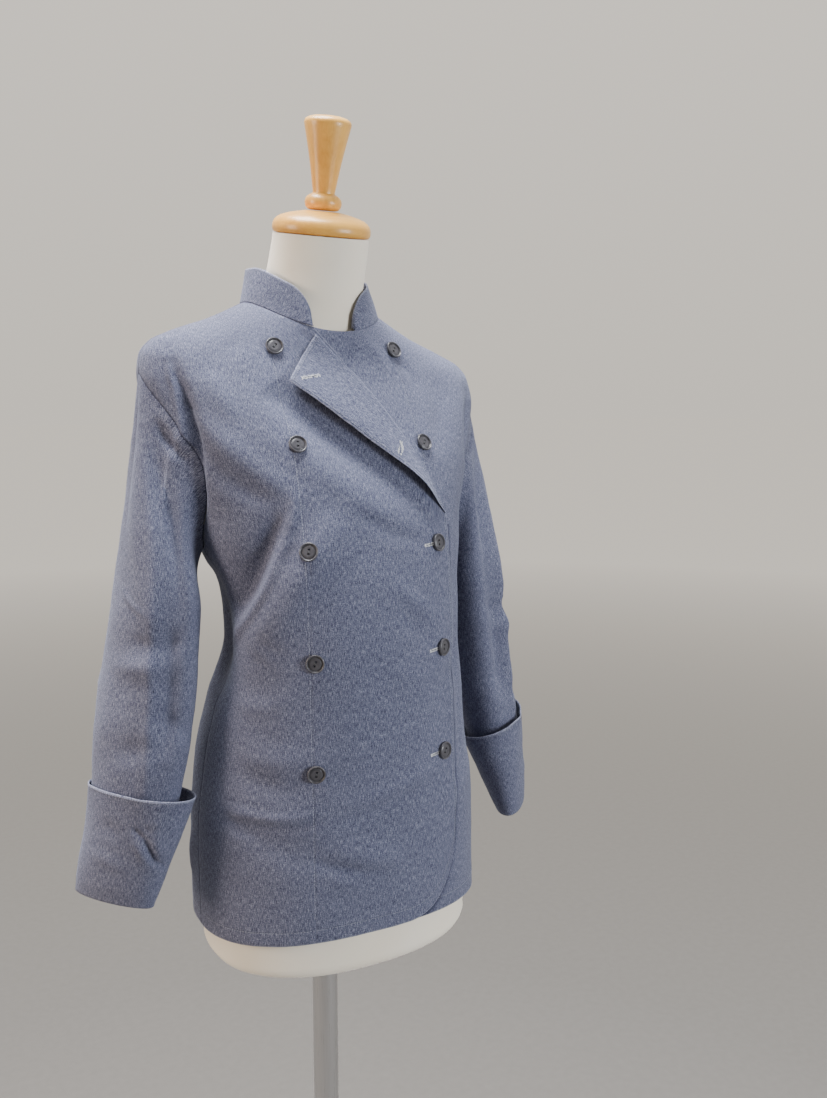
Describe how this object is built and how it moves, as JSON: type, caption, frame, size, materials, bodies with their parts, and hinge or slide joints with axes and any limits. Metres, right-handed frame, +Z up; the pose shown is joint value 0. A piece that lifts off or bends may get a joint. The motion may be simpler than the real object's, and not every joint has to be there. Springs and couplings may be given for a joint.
{
  "type": "chef jacket on dress form",
  "caption": "Long-sleeved double-breasted chef jacket with stand collar, turned-back front corner and turned-back cuffs, worn by a limbless dress form on a round-based stand.",
  "frame": {"origin": "centre of the underside of the stand's round base, on the floor", "axes": "+Z up along the stand, -Y towards the jacket's front, +X towards the wearer's left"},
  "size_m": [0.534, 0.37, 1.5635],
  "materials": {
    "chambray": "heathered blue-grey plain weave, matt",
    "button": "dark grey, semi-gloss",
    "form_cover": "ivory stretch jersey",
    "turned_wood": "honey varnish",
    "pole_steel": "satin",
    "base_paint": "black, satin"
  },
  "bodies": {
    "root": {"back": "chambray", "front_left": "chambray", "front_right": "chambray", "turned_corner": "chambray", "collar": "chambray", "sleeve_left": "chambray", "sleeve_right": "chambray", "cuff_left": "chambray", "cuff_right": "chambray", "button_left_1": "button", "button_left_2": "button", "button_left_3": "button", "button_left_4": "button", "button_left_5": "button", "button_right_1": "button", "button_right_2": "button", "button_right_3": "button", "button_right_4": "button", "button_right_5": "button", "form_torso": "form_cover", "neck_cap": "turned_wood", "knob": "turned_wood", "stand_pole": "pole_steel", "stand_base": "base_paint"}
  },
  "joints": []
}
